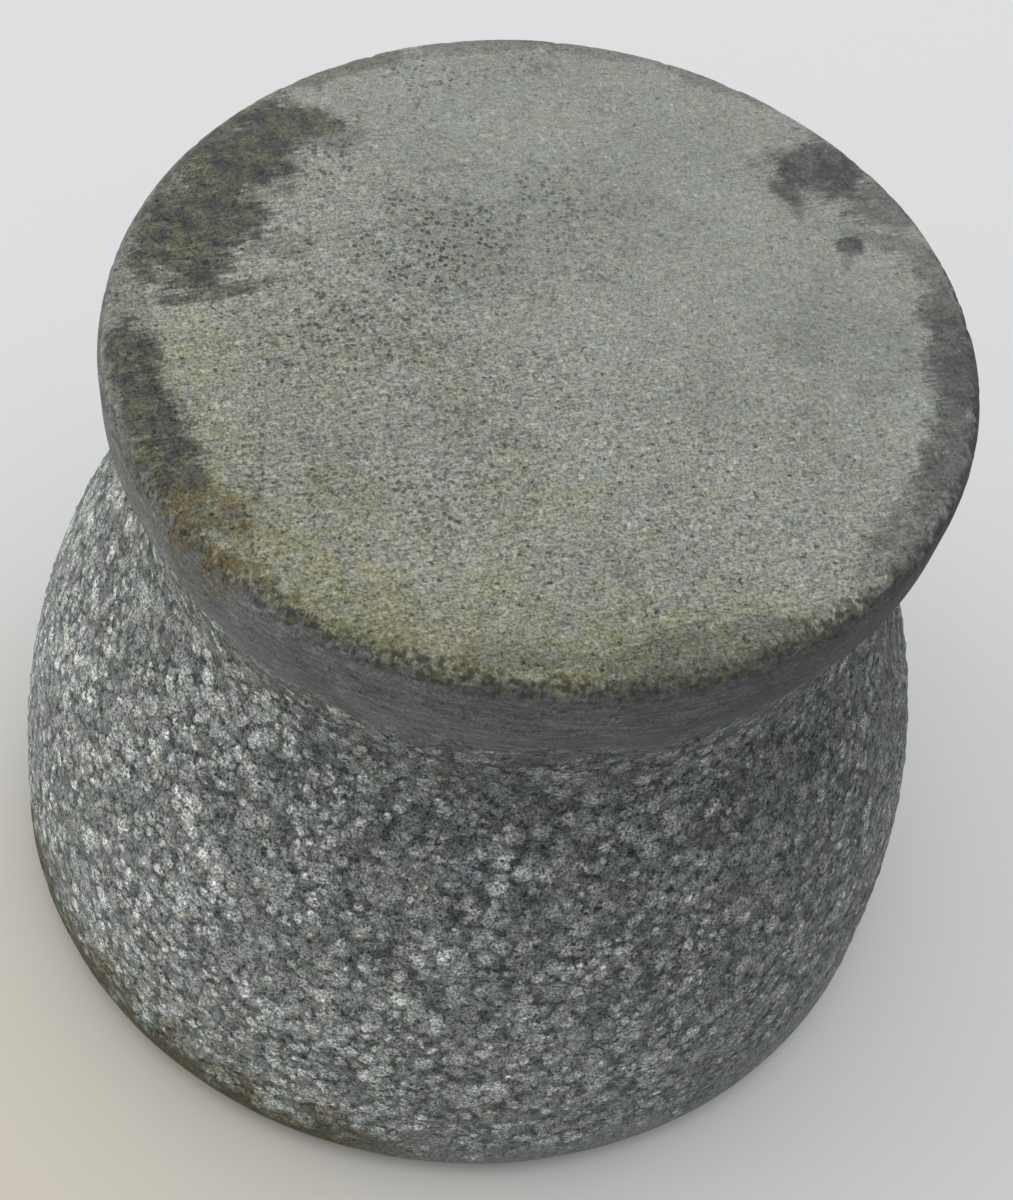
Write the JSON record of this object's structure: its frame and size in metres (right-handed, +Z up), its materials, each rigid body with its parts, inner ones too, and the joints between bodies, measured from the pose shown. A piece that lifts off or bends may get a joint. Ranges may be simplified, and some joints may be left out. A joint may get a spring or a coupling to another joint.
{
  "type": "mortar and pestle",
  "caption": "Footed granite mortar standing upside down on its lip, with a short granite pestle stored under it, for crushing and grinding by hand.",
  "frame": {"origin": "on the surface that the object stands on, in the middle of the mortar's lip", "axes": "+Z up, from the lip to the foot along the mortar's axis; +X along the pestle, from its head to its knob"},
  "size_m": [0.156, 0.156, 0.1225],
  "materials": {
    "mortar_granite": "ground foot, honed foot band and lip, bush-hammered belly",
    "pestle_granite": "ground head, bush-hammered grip, honed knob"
  },
  "bodies": {
    "pestle": {"pestle": "pestle_granite"},
    "mortar": {"mortar": "mortar_granite"}
  },
  "joints": [
    {"name": "mortar_lift", "type": "slide", "parent": "pestle", "child": "mortar", "axis": [0, 0, 1], "range_m": [0, 0.16]}
  ]
}
